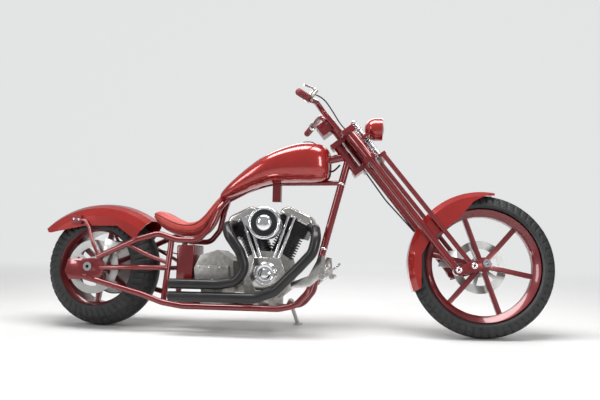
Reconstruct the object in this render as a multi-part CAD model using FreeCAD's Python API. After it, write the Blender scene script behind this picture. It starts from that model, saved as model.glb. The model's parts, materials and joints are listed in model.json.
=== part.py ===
import FreeCAD, Part
import math
import os

# A long custom motorcycle with a springer fork and a rigid frame, parked on its side stand.
# Pieces are modelled upright: X forward from the rear axle, Y left, Z up from the ground, in mm.
# The fork and front wheel are modelled about the steering axis, then raked and steered.

Vector = FreeCAD.Vector
Y_AXIS = Vector(0, 1, 0)

# wheels
WHEELBASE = 2090.0
REAR_TYRE_R = 326.0
REAR_TYRE_W = 230.0
REAR_RIM_R = 240.0
FRONT_TYRE_R = 370.0
FRONT_TYRE_W = 126.0
FRONT_RIM_R = 298.0
RIM_DEPTH = 42.0
SPOKE_COUNT = 6
SPOKE_W = 26.0
HUB_R = 38.0
DISC_T = 5.0
FRONT_DISC_R = 140.0
REAR_DISC_R = 148.0
PULLEY_R = 150.0
FRONT_DISC_Y = 60.0
REAR_DISC_Y = 132.0
BELT_W = 20.0

# axles run through the wheel hubs with a running fit
AXLE_R = 12.5
AXLE_BORE_R = 9.0
RUNNING_FIT = 0.05
FRONT_AXLE_HALF = 142.0
REAR_AXLE_HALF = 205.0

# steering
RAKE = 38.0
FORK_REACH = 705.0
HEAD_Z = 940.0
STEER_REST = 8.0
NECK_LOW = -80.0
NECK_HIGH = 76.0
NECK_R = 27.0
STEM_R = 16.0
TREE_GAP = 1.0
TREE_T = 30.0
LEG_N = 77.0
LEG_Y = 100.0
LEG_R = 19.0
LEG_COVER_R = 30.0
SPRING_LEG_N = 148.0
SPRING_LEG_R = 12.5
SPRING_Y = 45.0
SPRING_R = 17.0
SPRING_ROD_R = 7.0
ROCKER_T = 12.0
HEADLAMP_TILT = 38.0
BAR_R = 15.0
GRIP_LENGTH = 105.0
GRIP_OVERHANG = 8.0
LEVER_CLAMP_LENGTH = 24.0
LEVER_CLAMP_GAP = 4.0
LEVER_CLAMP_CLEARANCE = 0.1
BAR_STRAIGHT_SPARE = 7.0
PIVOT_HALF = 20.0
TREE_LUG_Y = 32.0
ROCKER_GAP = 0.5

# frame
TUBE_R = 16.0
DOWN_TUBE_R = 20.0
BACKBONE_R = 22.0
RAIL_Z = 124.0
RAIL_Y = 120.0
STAY_Y = 172.0
POST_Y = 104.0
PLATE_T = 10.0

# engine
CRANK_X = 975.0
CRANK_Z = 290.0
CYLINDER_ANGLE = 25.0
CYLINDER_R = 72.0
FIN_COUNT = 9
EXHAUST_R = 27.0
EXHAUST_WALL = 2.5
EXHAUST_Y = -200.0
PRIMARY_Y = 156.0

# parked pose
LEAN = 6.5
STAND_X = 1060.0
STAND_Y = 132.0
STAND_Z = 150.0
STAND_R = 11.0
STAND_OUT = 0.55
STAND_FORWARD = 0.25
FOOT_R = 26.0
KNUCKLE_HALF = 12.0


def vec(x, y, z):
    return Vector(x, y, z)


def rod(start, end, radius):
    return Part.makeCylinder(radius, (end - start).Length, start, end - start)


def fused(shapes):
    shape = shapes[0]
    for other in shapes[1:]:
        shape = shape.fuse(other)
    return shape.removeSplitter()


def cut_by(shape, tools):
    for tool in tools:
        shape = shape.cut(tool)
    return shape


def largest(shape):
    return max(shape.Solids, key=lambda solid: solid.Volume)


def bend_path(points, radius):
    """Straight runs joined by tangent arcs; each arc fits the two runs beside it."""
    edges = []
    start = points[0]
    for before, corner, after in zip(points, points[1:], points[2:]):
        to_before = (before - corner)
        to_after = (after - corner)
        room = 0.45 * min(to_before.Length, to_after.Length)
        a = Vector(to_before).normalize()
        b = Vector(to_after).normalize()
        turn = math.pi - a.getAngle(b)
        setback = min(radius * math.tan(turn / 2), room)
        arc_r = setback / math.tan(turn / 2)
        middle_dir = (a + b).normalize()
        reach = arc_r / math.cos(turn / 2)
        middle = corner + middle_dir * (reach - arc_r)
        first = corner + a * setback
        last = corner + b * setback
        edges.append(Part.LineSegment(start, first).toShape())
        edges.append(Part.Arc(first, middle, last).toShape())
        start = last
    edges.append(Part.LineSegment(start, points[-1]).toShape())
    return Part.Wire(edges)


def tube(points, radius, bend=90.0):
    if len(points) == 2:
        return rod(points[0], points[1], radius)
    path = bend_path(points, bend)
    ring = Part.Wire([Part.makeCircle(radius, points[0], points[1] - points[0])])
    return Part.Wire(path).makePipeShell([ring], True, False)


def side_plate(outline, y_low, y_high):
    """A flat plate whose side view is the closed outline of (x, z) points."""
    points = [vec(x, y_low, z) for x, z in outline]
    face = Part.Face(Part.makePolygon(points + [points[0]]))
    return face.extrude(vec(0, y_high - y_low, 0))


def turned(profile, centre_x=0.0, centre_z=0.0):
    """A ring turned about the Y direction from (radius, y) points."""
    points = [vec(centre_x, y, centre_z + r) for r, y in profile]
    face = Part.Face(Part.makePolygon(points + [points[0]]))
    return face.revolve(vec(centre_x, 0, centre_z), Y_AXIS, 360)


def disc(centre_x, centre_z, radius, y_low, y_high):
    return Part.makeCylinder(radius, y_high - y_low, vec(centre_x, y_low, centre_z), Y_AXIS)


def box(low, high):
    return Part.makeBox(high[0] - low[0], high[1] - low[1], high[2] - low[2], vec(*low))


def mirrored(shape):
    return shape.mirror(vec(0, 0, 0), Y_AXIS)


# ---------------------------------------------------------------- wheels, about their own axle


def tyre(tyre_r, width, rim_r):
    crown_r = width / 2
    crown_centre = tyre_r - crown_r
    edge_y = width / 2 - 12
    shoulder = crown_centre + math.sqrt(crown_r ** 2 - edge_y ** 2)
    crown = Part.Arc(vec(0, -edge_y, shoulder), vec(0, 0, tyre_r), vec(0, edge_y, shoulder))
    corners = [vec(0, edge_y, shoulder), vec(0, edge_y - 4, rim_r - 8), vec(0, edge_y - 26, rim_r - 8),
               vec(0, edge_y - 26, rim_r + 8), vec(0, 26 - edge_y, rim_r + 8),
               vec(0, 26 - edge_y, rim_r - 8), vec(0, 4 - edge_y, rim_r - 8), vec(0, -edge_y, shoulder)]
    wire = Part.Wire([crown.toShape()] + Part.makePolygon(corners).Edges)
    return Part.Face(wire).revolve(vec(0, 0, 0), Y_AXIS, 360)


def wheel(rim_r, width, hub_half, first_spoke):
    edge_y = width / 2 - 12
    seat_y = edge_y - 26
    barrel = turned([(rim_r - RIM_DEPTH, seat_y - 6), (rim_r - 8, edge_y - 4), (rim_r - 8, seat_y),
                     (rim_r + 8, seat_y), (rim_r + 8, seat_y - 3), (rim_r - RIM_DEPTH + 8, seat_y - 12),
                     (rim_r - RIM_DEPTH + 8, 12 - seat_y), (rim_r + 8, 3 - seat_y), (rim_r + 8, -seat_y),
                     (rim_r - 8, -seat_y), (rim_r - 8, 4 - edge_y), (rim_r - RIM_DEPTH, 6 - seat_y)])
    parts = [barrel, disc(0, 0, HUB_R, -hub_half, hub_half)]
    spoke_end = rim_r - RIM_DEPTH + 4
    for index in range(SPOKE_COUNT):
        spoke = box((HUB_R - 8, -13, -SPOKE_W / 2), (spoke_end, 13, SPOKE_W / 2))
        spoke.rotate(vec(0, 0, 0), Y_AXIS, -(first_spoke + index * 360.0 / SPOKE_COUNT))
        parts.append(spoke)
    return fused(parts).cut(disc(0, 0, AXLE_R + RUNNING_FIT, -hub_half - 1, hub_half + 1))


def ring_disc(radius, y_low, y_high):
    ring = disc(0, 0, radius, y_low, y_high).cut(disc(0, 0, radius - 42, y_low - 1, y_high + 1))
    arms = [disc(0, 0, HUB_R + 16, y_low, y_high)]
    for index in range(5):
        arm = box((HUB_R, y_low, -10), (radius - 38, y_high, 10))
        arm.rotate(vec(0, 0, 0), Y_AXIS, index * 72.0)
        arms.append(arm)
    return fused([ring] + arms).cut(disc(0, 0, HUB_R, y_low - 1, y_high + 1))


def front_wheel_parts():
    rim = wheel(FRONT_RIM_R, FRONT_TYRE_W, FRONT_DISC_Y + DISC_T, 70.7)
    rotor = ring_disc(FRONT_DISC_R, FRONT_DISC_Y, FRONT_DISC_Y + DISC_T)
    return {"front_rim": rim, "front_tyre": tyre(FRONT_TYRE_R, FRONT_TYRE_W, FRONT_RIM_R),
            "front_disc": rotor}


def rear_wheel_parts():
    hub_half = REAR_DISC_Y + BELT_W
    rim = wheel(REAR_RIM_R, REAR_TYRE_W, hub_half, 20.0)
    rotor = ring_disc(REAR_DISC_R, -REAR_DISC_Y - DISC_T, -REAR_DISC_Y)
    pulley = disc(0, 0, PULLEY_R, REAR_DISC_Y, REAR_DISC_Y + BELT_W)
    pulley = pulley.cut(disc(0, 0, HUB_R, 0, REAR_DISC_Y + BELT_W + 1))
    return {"rear_rim": rim, "rear_tyre": tyre(REAR_TYRE_R, REAR_TYRE_W, REAR_RIM_R),
            "rear_disc": rotor, "rear_pulley": pulley}


# ---------------------------------------------------------------- fork, about the steering axis


def head_point():
    return vec(WHEELBASE - FORK_REACH, 0, HEAD_Z)


def fork_axle():
    """The front axle in the fork's own frame: forward of, and along, the steering axis."""
    dx = FORK_REACH
    dz = FRONT_TYRE_R - HEAD_Z
    c = math.cos(math.radians(RAKE))
    s = math.sin(math.radians(RAKE))
    return dx * c + dz * s, -dx * s + dz * c


def rake_placement():
    turn = FreeCAD.Rotation(Y_AXIS, -RAKE)
    return FreeCAD.Placement(head_point(), turn)


def steer_placement():
    return FreeCAD.Placement(vec(0, 0, 0), FreeCAD.Rotation(vec(0, 0, 1), STEER_REST))


def rigid_fork():
    axle_n, axle_s = fork_axle()
    low_tree_top = NECK_LOW - TREE_GAP
    tree_low = low_tree_top - TREE_T
    low_tree = box((40, -LEG_Y - 28, tree_low), (LEG_N + 26, LEG_Y + 28, low_tree_top))
    lug = box((-30, -TREE_LUG_Y, tree_low), (41, TREE_LUG_Y, low_tree_top))
    stem = rod(vec(0, 0, low_tree_top - 2), vec(0, 0, NECK_HIGH + TREE_GAP + TREE_T), STEM_R)
    parts = [low_tree, lug, stem]
    for y in (-LEG_Y, LEG_Y):
        pivot = vec(axle_n - 132, y, axle_s + 56)
        cover_low = vec(LEG_N, y, low_tree_top - TREE_T / 2)
        parts.append(rod(cover_low, vec(LEG_N, y, NECK_HIGH + TREE_GAP), LEG_COVER_R))
        parts.append(rod(cover_low, pivot, LEG_R))
        parts.append(disc(pivot.x, pivot.z, 24, y - PIVOT_HALF, y + PIVOT_HALF))
    body = fused(parts)
    slot = box((-40, -NECK_R - 6, low_tree_top), (LEG_N - LEG_COVER_R, NECK_R + 6, NECK_HIGH))
    return body.cut(slot.cut(stem))


def upper_tree():
    low = NECK_HIGH + TREE_GAP
    plate = box((40, -LEG_Y - 34, low), (LEG_N + 34, LEG_Y + 34, low + TREE_T))
    plate = plate.fuse(box((-36, -TREE_LUG_Y, low), (41, TREE_LUG_Y, low + TREE_T)))
    perch_s = 12.0
    perch = box((LEG_N + LEG_COVER_R, -LEG_Y + 10, perch_s), (SPRING_LEG_N + 14, LEG_Y - 10, perch_s + 16))
    bridge = box((LEG_N - 12, -LEG_Y + LEG_COVER_R, perch_s), (LEG_N + LEG_COVER_R, LEG_Y - LEG_COVER_R,
                 perch_s + 16))
    web = box((LEG_N - 12, -24, perch_s), (LEG_N + 4, 24, low))
    stem = rod(vec(0, 0, low - 1), vec(0, 0, low + TREE_T + 1), STEM_R)
    body = fused([plate, perch, bridge, web])
    for y in (-SPRING_Y, SPRING_Y):
        hole = rod(vec(SPRING_LEG_N - 8, y, perch_s - 1), vec(SPRING_LEG_N - 8, y, perch_s + 17), SPRING_ROD_R)
        body = body.cut(hole)
    return body.cut(stem)


def spring_fork():
    axle_n, axle_s = fork_axle()
    bridge_top = -108.0
    parts = [box((SPRING_LEG_N - 22, -LEG_Y - 14, bridge_top - 18), (SPRING_LEG_N + 14, LEG_Y + 14, bridge_top))]
    for y in (-LEG_Y, LEG_Y):
        pivot = vec(axle_n - 56, y, axle_s + 26)
        parts.append(rod(vec(SPRING_LEG_N, y, bridge_top - 8), pivot, SPRING_LEG_R))
        parts.append(disc(pivot.x, pivot.z, 18, y - PIVOT_HALF, y + PIVOT_HALF))
    for y in (-SPRING_Y, SPRING_Y):
        parts.append(rod(vec(SPRING_LEG_N - 8, y, bridge_top - 4), vec(SPRING_LEG_N - 8, y, 136), SPRING_ROD_R))
    return fused(parts)


def fork_springs():
    n = SPRING_LEG_N - 8
    columns = []
    for y in (-SPRING_Y, SPRING_Y):
        for low, high in ((-108.0, 12.0), (28.0, 128.0)):
            column = rod(vec(n, y, low), vec(n, y, high), SPRING_R)
            columns.append(column.cut(rod(vec(n, y, low - 1), vec(n, y, high + 1), SPRING_ROD_R)))
    return Part.makeCompound(columns)


def fork_rockers():
    axle_n, axle_s = fork_axle()
    plates = []
    for side in (-1, 1):
        near = side * (LEG_Y + PIVOT_HALF + ROCKER_GAP)
        far = near + side * ROCKER_T
        low, high = min(near, far), max(near, far)
        outline = [(axle_n - 150, axle_s + 78), (axle_n - 56, axle_s + 52), (axle_n + 24, axle_s + 18),
                   (axle_n + 20, axle_s - 20), (axle_n - 60, axle_s - 4), (axle_n - 152, axle_s + 34)]
        plate = side_plate(outline, low, high).cut(disc(axle_n, axle_s, AXLE_R, low - 1, high + 1))
        for pin_n, pin_s in ((axle_n - 132, axle_s + 56), (axle_n - 56, axle_s + 26)):
            inner = side * (LEG_Y + PIVOT_HALF)
            pin_low, pin_high = min(inner, far + side * 6), max(inner, far + side * 6)
            plate = plate.fuse(disc(pin_n, pin_s, 9, pin_low, pin_high))
        plates.append(plate)
    return Part.makeCompound(plates)


def front_axle():
    axle_n, axle_s = fork_axle()
    outer = disc(axle_n, axle_s, AXLE_R, -FRONT_AXLE_HALF, FRONT_AXLE_HALF)
    nuts = []
    for side in (-1, 1):
        face = side * (LEG_Y + PIVOT_HALF + ROCKER_GAP + ROCKER_T)
        end = side * FRONT_AXLE_HALF
        nuts.append(disc(axle_n, axle_s, 20, min(face, end), max(face, end)))
    for side in (-1, 1):
        hub_face = FRONT_DISC_Y + DISC_T + TREE_GAP
        start, end = sorted((side * hub_face, side * (LEG_Y + PIVOT_HALF + ROCKER_GAP)))
        nuts.append(disc(axle_n, axle_s, 17, start, end))
    body = fused([outer] + nuts)
    return body.cut(disc(axle_n, axle_s, AXLE_BORE_R, -FRONT_AXLE_HALF - 1, FRONT_AXLE_HALF + 1))


def front_caliper():
    axle_n, axle_s = fork_axle()
    low, high = FRONT_DISC_Y - 12, FRONT_DISC_Y + 17
    block = side_plate([(axle_n - 170, axle_s + 130), (axle_n - 96, axle_s + 176), (axle_n - 40, axle_s + 140),
                        (axle_n - 96, axle_s + 62)], low, high)
    block = block.cut(disc(axle_n, axle_s, FRONT_DISC_R + 5, FRONT_DISC_Y - 5, FRONT_DISC_Y + DISC_T + 5))
    arm = side_plate([(axle_n - 110, axle_s + 150), (axle_n - 82, axle_s + 160), (axle_n + 12, axle_s + 14),
                      (axle_n - 14, axle_s + 2)], high, high + 8)
    arm = arm.cut(disc(axle_n, axle_s, 17, 0, 200))
    return fused([block, arm])


def bar_end_run():
    """The bar's straight end carries the grip and the lever's clamp: its inner bend, its tip and its direction."""
    tip = vec(-42, 350, 345)
    along = vec(-38, 115, 19).normalize()
    straight = GRIP_LENGTH + LEVER_CLAMP_GAP + LEVER_CLAMP_LENGTH + BAR_STRAIGHT_SPARE
    return tip - along * straight, tip, along


def handlebar():
    tree_top = NECK_HIGH + TREE_GAP + TREE_T
    bend, tip, _ = bar_end_run()
    sides = []
    for side in (-1, 1):
        route = [vec(46, side * 62, tree_top), vec(44, side * 62, 290), vec(30, side * 150, 316),
                 vec(bend.x, side * bend.y, bend.z), vec(tip.x, side * tip.y, tip.z)]
        sides.append(tube(route, BAR_R, 45.0))
    cross = rod(vec(45, -62, 196), vec(45, 62, 196), 12)
    pod = box((-34, -42, 168), (34, 42, 236))
    return fused(sides + [cross, pod])


def grip_ends():
    _, tip, along = bar_end_run()
    return tip - along * GRIP_LENGTH, tip + along * GRIP_OVERHANG


def hand_grips():
    start, end = grip_ends()
    bar = rod(start, bar_end_run()[1], BAR_R)
    grip = rod(start, end, 19.0).cut(bar)
    return Part.makeCompound([grip, mirrored(grip)])


def hand_levers():
    start, end = grip_ends()
    along = (end - start).normalize()
    ahead = vec(1, 0, 0.25).normalize()
    clamp_outer = start - along * LEVER_CLAMP_GAP
    clamp_inner = clamp_outer - along * LEVER_CLAMP_LENGTH
    clamp_mid = (clamp_inner + clamp_outer) * 0.5
    clamp = rod(clamp_inner, clamp_outer, 22)
    bore = rod(clamp_inner - along * 30, start, BAR_R + LEVER_CLAMP_CLEARANCE)
    block = rod(clamp_mid + ahead * 18, clamp_mid + ahead * 62, 15)
    lever = tube([clamp_mid + ahead * 50, clamp_mid + ahead * 58 + along * 45, end + ahead * 46], 5.0, 30.0)
    piece = fused([clamp, block, lever]).cut(bore)
    return Part.makeCompound([piece, mirrored(piece)])



def lamp_shapes():
    """The lamp faces level forward, so in the fork's frame it is turned back by the rake."""
    turn = FreeCAD.Placement(vec(222, 0, 34), FreeCAD.Rotation(Y_AXIS, HEADLAMP_TILT))
    forward = vec(1, 0, 0)
    shell = Part.makeSphere(62, vec(0, 0, 0)).cut(box((0, -80, -80), (80, 80, 80)))
    shell = shell.fuse(Part.makeCylinder(62, 34, vec(0, 0, 0), forward))
    shell = shell.cut(Part.makeCylinder(56, 40, vec(-4, 0, 0), forward))
    lens = Part.makeCylinder(56, 12, vec(16, 0, 0), forward)
    lens = lens.fuse(Part.makeSphere(90, vec(-46, 0, 0)).common(Part.makeCylinder(56, 30, vec(28, 0, 0), forward)))
    for shape in (shell, lens):
        shape.Placement = turn
    bracket = rod(vec(SPRING_LEG_N + 14, 0, 20), vec(186, 0, 24), 12)
    return fused([shell, bracket]), lens.removeSplitter()


def front_fender():
    axle_n, axle_s = fork_axle()
    inner, outer = FRONT_TYRE_R + 10, FRONT_TYRE_R + 14
    section = [(inner - 118, -78), (inner - 30, -78), (inner - 4, -50), (inner, 0), (inner - 4, 50),
               (inner - 30, 78), (inner - 118, 78), (inner - 118, 82), (inner - 26, 82), (outer - 2, 52),
               (outer, 0), (outer - 2, -52), (inner - 26, -82), (inner - 118, -82)]
    points = [vec(0, y, r) for r, y in section]
    face = Part.Face(Part.makePolygon(points + [points[0]]))
    start = 90 - (80 - RAKE)
    face.rotate(vec(0, 0, 0), Y_AXIS, start)
    shell = face.revolve(vec(0, 0, 0), Y_AXIS, -122)
    opening = [(r * math.cos(math.radians(angle - RAKE)), r * math.sin(math.radians(angle - RAKE)))
               for r, angle in ((420, 76), (372, 84), (330, 98), (268, 117), (254, 130), (296, 153),
                                (318, 172), (352, 205), (100, 205), (100, 76))]
    for low, high in ((-90, -60), (60, 90)):
        shell = shell.cut(side_plate(opening, low, high))
    shell = shell.removeSplitter()
    shell.translate(vec(axle_n, 0, axle_s))
    stays = []
    for side in (-1, 1):
        start_y, end_y = sorted((side * 82, side * (LEG_Y - 14)))
        stays.append(Part.makeCylinder(8, end_y - start_y, vec(LEG_N + 4, start_y, axle_s + 250), Y_AXIS))
    return shell, stays


def brake_hose():
    axle_n, axle_s = fork_axle()
    n = LEG_N - LEG_R - 9
    return tube([vec(n - 2, LEG_Y - 6, NECK_LOW - 34), vec(n - 10, LEG_Y - 4, -300), vec(n + 6, LEG_Y - 6, -520),
                 vec(n + 14, LEG_Y - 10, axle_s + 176)], 4.0, 400.0)


# ---------------------------------------------------------------- frame


def neck_point(along):
    lean = math.radians(RAKE)
    return head_point() + vec(-math.sin(lean), 0, math.cos(lean)) * along


def neck():
    body = rod(neck_point(NECK_LOW), neck_point(NECK_HIGH), NECK_R)
    return body.cut(rod(neck_point(NECK_LOW - 5), neck_point(NECK_HIGH + 5), STEM_R + RUNNING_FIT))


def neck_clearance():
    return rod(neck_point(NECK_LOW - 5), neck_point(NECK_HIGH + 5), STEM_R + RUNNING_FIT)


def backbone_route():
    head = head_point()
    return [neck_point(10), vec(head.x - 105, 0, HEAD_Z - 12), vec(1080, 0, 880), vec(900, 0, 806),
            vec(715, 0, 712)]


def frame_backbone():
    spine = tube(backbone_route(), BACKBONE_R, 260.0)
    return fused([spine, neck()]).cut(neck_clearance())


def down_tube_ends():
    return neck_point(NECK_LOW + 70), vec(CRANK_X + 276, 0, 400)


def frame_down_tube(backbone):
    top, low = down_tube_ends()
    return largest(rod(top, low, DOWN_TUBE_R).cut(backbone).cut(neck_clearance()))


def frame_engine_tube(down_tube):
    z = 803
    run = rod(vec(CRANK_X + 25, 0, z), vec(CRANK_X + 425, 0, z), 14)
    mount = box((CRANK_X + 2, -16, CRANK_Z + 408), (CRANK_X + 48, 16, z + 14))
    return largest(fused([run, mount]).cut(down_tube))


def rail_route(side):
    top, low = down_tube_ends()
    return [vec(low.x + 4, side * 17, low.z + 14), vec(CRANK_X + 255, side * 34, 318),
            vec(CRANK_X + 222, side * 92, 214), vec(CRANK_X + 160, side * RAIL_Y, 142),
            vec(CRANK_X + 70, side * RAIL_Y, RAIL_Z), vec(520, side * RAIL_Y, RAIL_Z),
            vec(405, side * (RAIL_Y + 8), 142), vec(300, side * STAY_Y, 186), vec(-40, side * STAY_Y, 272)]


def frame_rail(side, down_tube):
    return largest(tube(rail_route(side), TUBE_R, 80.0).cut(down_tube))


def seat_rail(side, backbone):
    route = [vec(722, side * 12, 716), vec(682, side * 62, 650), vec(648, side * 96, 545),
             vec(590, side * 108, 478), vec(470, side * 112, 480), vec(372, side * 132, 512),
             vec(262, side * STAY_Y, 474), vec(40, side * STAY_Y, 378)]
    rail = tube(route, TUBE_R, 70.0).cut(backbone)
    half = box((-400, 0.5, 0), (1400, 400, 1200)) if side > 0 else box((-400, -400, 0), (1400, -0.5, 1200))
    return largest(rail.common(half))


def axle_plate(side):
    y_low, y_high = sorted((side * (STAY_Y - PLATE_T / 2), side * (STAY_Y + PLATE_T / 2)))
    plate = side_plate([(-130, 366), (60, 372), (92, 326), (60, 262), (-120, 254), (-148, 300)], y_low, y_high)
    return plate.cut(disc(0, REAR_TYRE_R, AXLE_R, y_low - 1, y_high + 1))


def rear_stay(side, neighbours):
    post = rod(vec(438, side * POST_Y, 480), vec(405, side * POST_Y, 150), TUBE_R)
    middle = tube([vec(60, side * STAY_Y, 322), vec(300, side * STAY_Y, 326),
                   vec(418, side * (POST_Y + 6), 327)], 14.0, 80.0)
    brace = tube([vec(222, side * STAY_Y, 446), vec(322, side * STAY_Y, 396),
                  vec(424, side * POST_Y, 352)], 11.0, 80.0)
    foot = rod(vec(405, side * POST_Y, 152), vec(405, side * (RAIL_Y + 6), 144), 12)
    body = fused([axle_plate(side), post, middle, brace, foot])
    return cut_by(body, neighbours)


# ---------------------------------------------------------------- bodywork


def section_ring(x, low, high, half, power=2.4, count=20):
    """A closed superellipse ring in the plane of one x."""
    mid, half_z = (low + high) / 2, (high - low) / 2
    ring = []
    for index in range(count):
        angle = 2 * math.pi * index / count
        c, s = math.cos(angle), math.sin(angle)
        y = half * math.copysign(abs(c) ** (2 / power), c)
        z = mid + half_z * math.copysign(abs(s) ** (2 / power), s)
        ring.append(vec(x, y, z))
    return ring


def smooth_body(stations, power):
    wires = []
    for x, low, high, half in stations:
        curve = Part.BSplineCurve()
        curve.interpolate(section_ring(x, low, high, half, power), PeriodicFlag=True)
        wires.append(Part.Wire([curve.toShape()]))
    return Part.makeLoft(wires, True)


def fuel_tank(tools):
    front = head_point().x - 92
    stations = [(front, 858, 952, 62), (front - 18, 818, 994, 96), (front - 70, 803, 1019, 122),
                (front - 150, 801, 1023, 132), (front - 270, 800, 992, 134), (front - 390, 778, 932, 122),
                (front - 500, 738, 848, 98), (front - 590, 708, 764, 62), (front - 604, 706, 748, 48)]
    shell = smooth_body(stations, 2.5)
    slot_half = BACKBONE_R + 5
    roof = [(point.x, point.z + slot_half) for point in backbone_route()[1:]]
    slot = [(roof[0][0] + 40, roof[0][1])] + roof + [(roof[-1][0] - 40, roof[-1][1] - 20),
                                                     (roof[-1][0] - 40, 600), (roof[0][0] + 40, 600)]
    shell = shell.cut(side_plate(slot, -slot_half, slot_half))
    return largest(cut_by(shell, tools))


def fuel_cap(tank):
    cap = Part.makeCylinder(30, 40, vec(head_point().x - 216, 0, 990))
    return largest(cap.cut(tank))


def seat(neighbours):
    stations = [(706, 700, 742, 30), (680, 650, 728, 52), (645, 570, 684, 74), (604, 520, 630, 84),
                (560, 503, 592, 92), (500, 502, 584, 102), (440, 508, 604, 106), (385, 530, 632, 104),
                (345, 560, 644, 92), (318, 590, 640, 76)]
    pad = smooth_body(stations, 2.6)
    return largest(cut_by(pad, neighbours))


def rear_fender(neighbours):
    centre_x, centre_z, outer = 10.0, 165.0, 519.0
    inner = outer - 5
    half = REAR_TYRE_W / 2 + 14
    section = [(inner - 190, -half + 4), (inner - 74, -half + 4), (inner - 30, -half + 22), (inner - 9, -62),
               (inner, 0), (inner - 9, 62), (inner - 30, half - 22), (inner - 74, half - 4),
               (inner - 190, half - 4), (inner - 190, half), (inner - 72, half), (inner - 26, half - 20),
               (outer - 9, 62), (outer, 0), (outer - 9, -62), (inner - 26, 20 - half), (inner - 72, -half),
               (inner - 190, -half)]
    points = [vec(centre_x, y, centre_z + r) for r, y in section]
    face = Part.Face(Part.makePolygon(points + [points[0]]))
    face.rotate(vec(centre_x, 0, centre_z), Y_AXIS, -41)
    shell = face.revolve(vec(centre_x, 0, centre_z), Y_AXIS, 76)
    below = [(-600, 100), (-600, 530), (-270, 512), (-225, 522), (-70, 551), (124, 553), (201, 499),
             (241, 472), (320, 456), (700, 440), (700, 100)]
    shell = shell.cut(side_plate(below, -300, 300))
    return cut_by(shell.removeSplitter(), neighbours)


def fender_struts(neighbours):
    half = REAR_TYRE_W / 2 + 14
    right = tube([vec(48, -STAY_Y, 380), vec(4, -STAY_Y + 4, 460), vec(-34, -half - 16, 542),
                  vec(-62, -half - 9, 582), vec(-118, -half - 9, 586)], 9.0, 30.0)
    pad = box((-142, -half - 16, 562), (-84, -half - 0.4, 610))
    strut = cut_by(fused([right, pad]), neighbours)
    return Part.makeCompound([largest(strut), mirrored(largest(strut))])


# ---------------------------------------------------------------- engine and drive


def cylinder_placement(angle):
    turn = FreeCAD.Rotation(Y_AXIS, angle)
    return FreeCAD.Placement(vec(CRANK_X, 0, CRANK_Z), turn)


def finned_cylinder(angle):
    radii = [CYLINDER_R, CYLINDER_R - 14]
    profile = [vec(0, 0, 128)]
    z = 128.0
    pitch = 15.0
    for index in range(FIN_COUNT):
        profile += [vec(radii[1], 0, z), vec(radii[1], 0, z + 9), vec(radii[0], 0, z + 9),
                    vec(radii[0], 0, z + 15)]
        z += pitch
    profile += [vec(0, 0, z), profile[0]]
    barrel = Part.Face(Part.makePolygon(profile)).revolve(vec(0, 0, 0), vec(0, 0, 1), 360)
    head = box((-88, -70, z), (88, 70, z + 66))
    body = barrel.fuse(head)
    body.Placement = cylinder_placement(angle)
    return body


def rocker_box(angle):
    low = 128.0 + 15.0 * FIN_COUNT + 66
    outline = [(-98, low), (98, low), (98, low + 34), (64, low + 62), (-64, low + 62), (-98, low + 34)]
    body = side_plate(outline, -62, 62)
    body.Placement = cylinder_placement(angle)
    return body


def crankcase(cylinders, rails):
    outline = [(850, 200), (900, 166), (1010, 166), (1084, 226), (1104, 330), (1084, 392), (1030, 426),
               (920, 426), (862, 392), (846, 300)]
    shift = CRANK_X - 975.0
    block = side_plate([(x + shift, z) for x, z in outline], -84, 84)
    boss = disc(CRANK_X, CRANK_Z + 8, 58, 84, PRIMARY_Y)
    mounts = [box((CRANK_X + x, -RAIL_Y, RAIL_Z - 4), (CRANK_X + x + 28, RAIL_Y, 186)) for x in (-64, 20)]
    return largest(cut_by(fused([block, boss] + mounts), cylinders + rails))


def cam_cover():
    round_part = disc(CRANK_X - 4, CRANK_Z + 14, 62, -124, -84)
    wings = side_plate([(CRANK_X - 96, 300), (CRANK_X - 70, 392), (CRANK_X + 74, 392), (CRANK_X + 108, 300),
                        (CRANK_X + 58, 214), (CRANK_X - 60, 214)], -108, -84)
    return fused([round_part, wings])


def pushrod_tubes(neighbours):
    tubes = []
    for foot_x, top_x in ((CRANK_X + 62, 148), (CRANK_X + 36, 112),
                                 (CRANK_X - 34, -112), (CRANK_X - 62, -148)):
        foot = vec(foot_x, -94, 388)
        top = vec(CRANK_X + top_x, -94, 612)
        tubes.append(rod(foot, top, 8.5))
    return Part.makeCompound([largest(cut_by(piece, neighbours)) for piece in tubes])


def air_cleaner(neighbours):
    centre_x, centre_z = CRANK_X + 5, CRANK_Z + 278
    cover = disc(centre_x, centre_z, 86, -212, -152)
    tip = side_plate([(centre_x - 20, centre_z + 84), (centre_x - 118, centre_z + 16),
                      (centre_x - 112, centre_z + 4), (centre_x - 40, centre_z - 76)], -205, -152)
    throat = rod(vec(centre_x, -154, centre_z), vec(CRANK_X, 0, centre_z), 27)
    manifold = rod(vec(CRANK_X - 150, 0, centre_z), vec(CRANK_X + 150, 0, centre_z), 24)
    return largest(cut_by(fused([cover, tip, throat, manifold]), neighbours))


def transmission(neighbours):
    body = side_plate([(578, 232), (566, 330), (600, 400), (700, 430), (786, 372), (790, 236)], -88, 100)
    cover = side_plate([(590, 258), (590, 344), (768, 344), (768, 258)], -112, -88)
    shaft = disc(690, 300, 30, 100, PRIMARY_Y)
    sprocket = disc(690, 300, 46, REAR_DISC_Y, REAR_DISC_Y + BELT_W)
    mount = box((620, -RAIL_Y, RAIL_Z - 4), (740, RAIL_Y, 236))
    return largest(cut_by(fused([body, cover, shaft, sprocket, mount]), neighbours))


def primary_cover():
    mid_z = 300
    outer = PRIMARY_Y + 50
    ends = [disc(CRANK_X, mid_z, 104, PRIMARY_Y, outer), disc(690, mid_z, 112, PRIMARY_Y, outer)]
    bridge = box((690, PRIMARY_Y, mid_z - 104), (CRANK_X, outer, mid_z + 104))
    return fused(ends + [bridge])


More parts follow.
